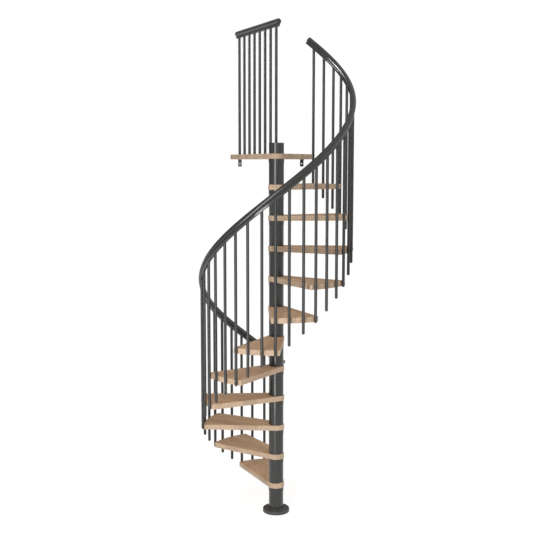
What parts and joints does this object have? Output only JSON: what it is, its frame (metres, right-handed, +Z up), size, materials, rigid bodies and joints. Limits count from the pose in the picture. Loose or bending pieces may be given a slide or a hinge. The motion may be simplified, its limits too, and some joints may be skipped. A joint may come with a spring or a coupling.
{
  "type": "spiral staircase",
  "caption": "Spiral staircase: oak winder treads and a landing on a steel pole with spacer sleeves, slim steel balusters and a round helical handrail.",
  "frame": {"origin": "on the floor at the pole's axis, on the underside of the base flange", "axes": "+Z up along the pole; +Y from the pole towards the landing's back edge, away from the camera; +X to the right as the camera sees it"},
  "size_m": [1.2034, 1.3484, 3.8485],
  "materials": {
    "oak": "stave-glued oak, satin oil",
    "anthracite_steel": "anthracite powder coat, satin",
    "handrail": "anthracite coated round rail, smooth satin",
    "black_steel": "black painted steel angle"
  },
  "bodies": {
    "root": {"base_flange": "anthracite_steel", "centre_tube": "anthracite_steel", "sleeve_1": "anthracite_steel", "sleeve_2": "anthracite_steel", "sleeve_3": "anthracite_steel", "sleeve_4": "anthracite_steel", "sleeve_5": "anthracite_steel", "sleeve_6": "anthracite_steel", "sleeve_7": "anthracite_steel", "sleeve_8": "anthracite_steel", "sleeve_9": "anthracite_steel", "sleeve_10": "anthracite_steel", "sleeve_11": "anthracite_steel", "sleeve_12": "anthracite_steel", "top_sleeve": "anthracite_steel", "tread_1": "oak", "tread_2": "oak", "tread_3": "oak", "tread_4": "oak", "tread_5": "oak", "tread_6": "oak", "tread_7": "oak", "tread_8": "oak", "tread_9": "oak", "tread_10": "oak", "tread_11": "oak", "landing": "oak", "balusters_1": "anthracite_steel", "balusters_2": "anthracite_steel", "balusters_3": "anthracite_steel", "balusters_4": "anthracite_steel", "balusters_5": "anthracite_steel", "balusters_6": "anthracite_steel", "balusters_7": "anthracite_steel", "balusters_8": "anthracite_steel", "balusters_9": "anthracite_steel", "balusters_10": "anthracite_steel", "balusters_11": "anthracite_steel", "top_baluster": "anthracite_steel", "start_plate": "anthracite_steel", "handrail": "handrail", "handrail_bar": "anthracite_steel", "handrail_cap_low": "handrail", "handrail_cap_high": "handrail", "landing_rail": "handrail", "landing_rail_bar": "anthracite_steel", "landing_balusters": "anthracite_steel", "landing_brackets": "black_steel"}
  },
  "joints": []
}
